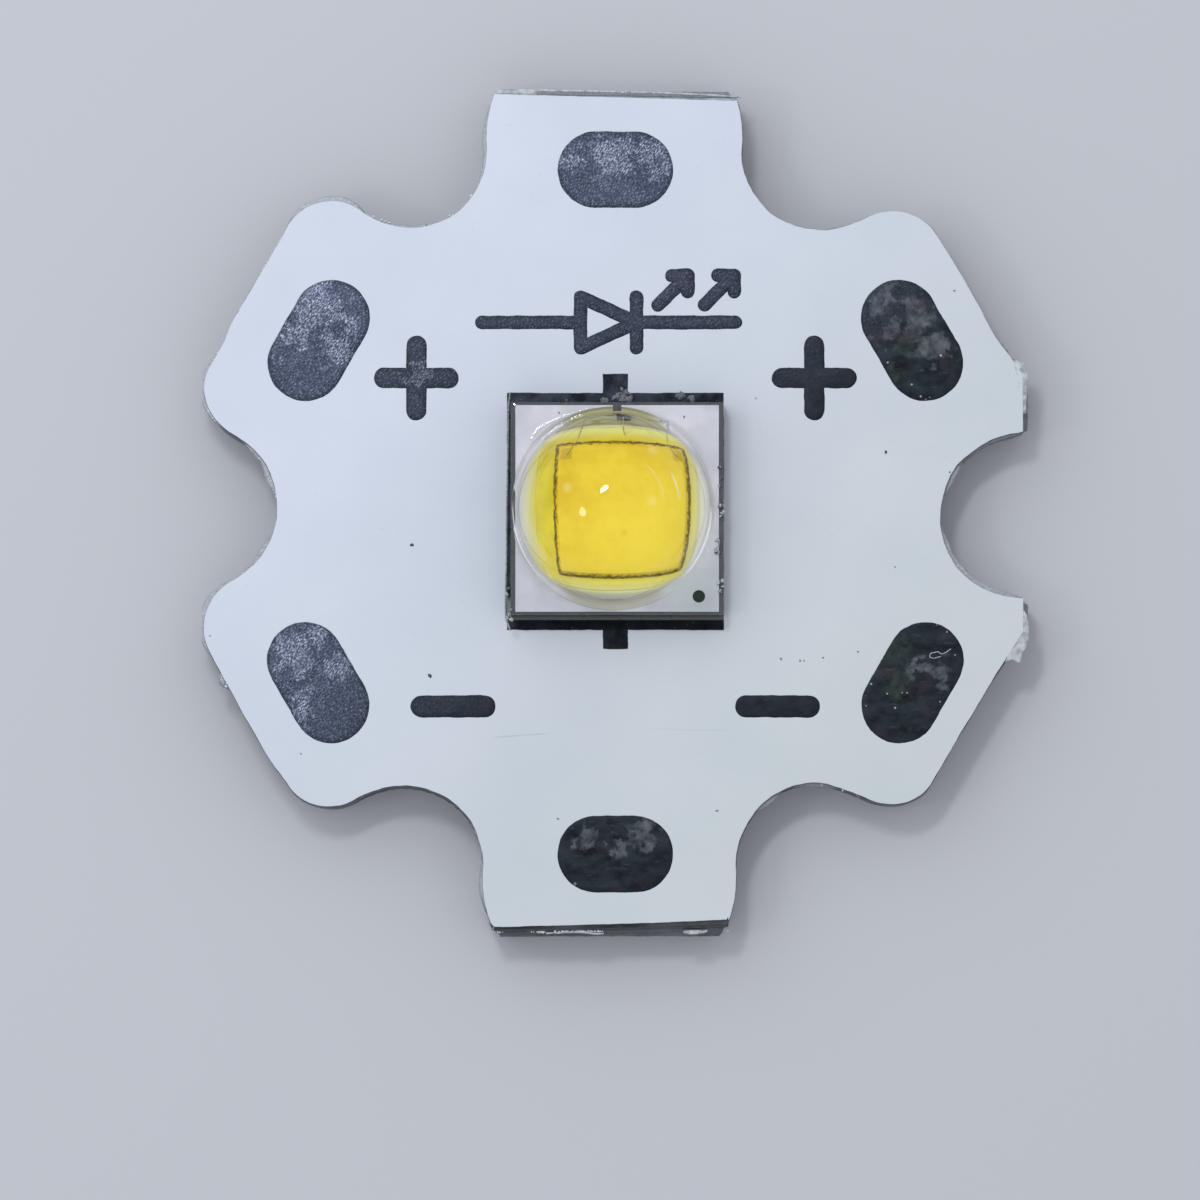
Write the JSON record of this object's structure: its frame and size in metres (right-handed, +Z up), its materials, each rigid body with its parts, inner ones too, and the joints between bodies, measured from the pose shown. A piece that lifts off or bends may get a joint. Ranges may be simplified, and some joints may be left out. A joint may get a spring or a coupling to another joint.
{
  "type": "high power led",
  "caption": "Domed ceramic power LED soldered to a star-shaped aluminium-core board, with tinned wire pads, polarity marks and round screw notches between its arms.",
  "frame": {"origin": "middle of the board's underside, on the face that lies on the heat sink", "axes": "+Z up out of the lens; +Y to the anode side with the plus marks; +X to the side whose two arms are trimmed straight"},
  "size_m": [0.0196, 0.02, 0.0047],
  "materials": {
    "aluminium": "milled edge, brushed underside",
    "dielectric": "filled epoxy",
    "copper": "bare",
    "white_lacquer": "satin",
    "tin": "speckled",
    "solder": "satin",
    "gold_plate": "plated",
    "ceramic": "matt",
    "silver": "satin",
    "die": "polished",
    "phosphor": "matt",
    "gold": "drawn",
    "silicon": "polished",
    "silicone": "clear"
  },
  "bodies": {
    "root": {"aluminium_base": "aluminium", "dielectric_layer": "dielectric", "anode_copper": "copper", "thermal_copper": "copper", "cathode_copper": "copper", "solder_mask": "white_lacquer", "anode_wire_pad_left": "tin", "anode_wire_pad_top": "tin", "anode_wire_pad_right": "tin", "cathode_wire_pad_left": "tin", "cathode_wire_pad_bottom": "tin", "cathode_wire_pad_right": "tin", "plus_mark_left": "tin", "plus_mark_right": "tin", "minus_mark_left": "tin", "minus_mark_right": "tin", "diode_symbol": "tin", "anode_solder": "solder", "thermal_solder": "solder", "cathode_solder": "solder", "anode_contact": "gold_plate", "thermal_contact": "gold_plate", "cathode_contact": "gold_plate", "ceramic_substrate": "ceramic", "anode_vias": "copper", "cathode_vias": "copper", "die_pad_metal": "silver", "bond_pad_metal": "silver", "die_attach": "solder", "led_die": "die", "phosphor_layer": "phosphor", "bond_wire_left": "gold", "bond_wire_right": "gold", "esd_diode": "silicon", "esd_wire": "gold", "silicone_lens": "silicone"}
  },
  "joints": []
}
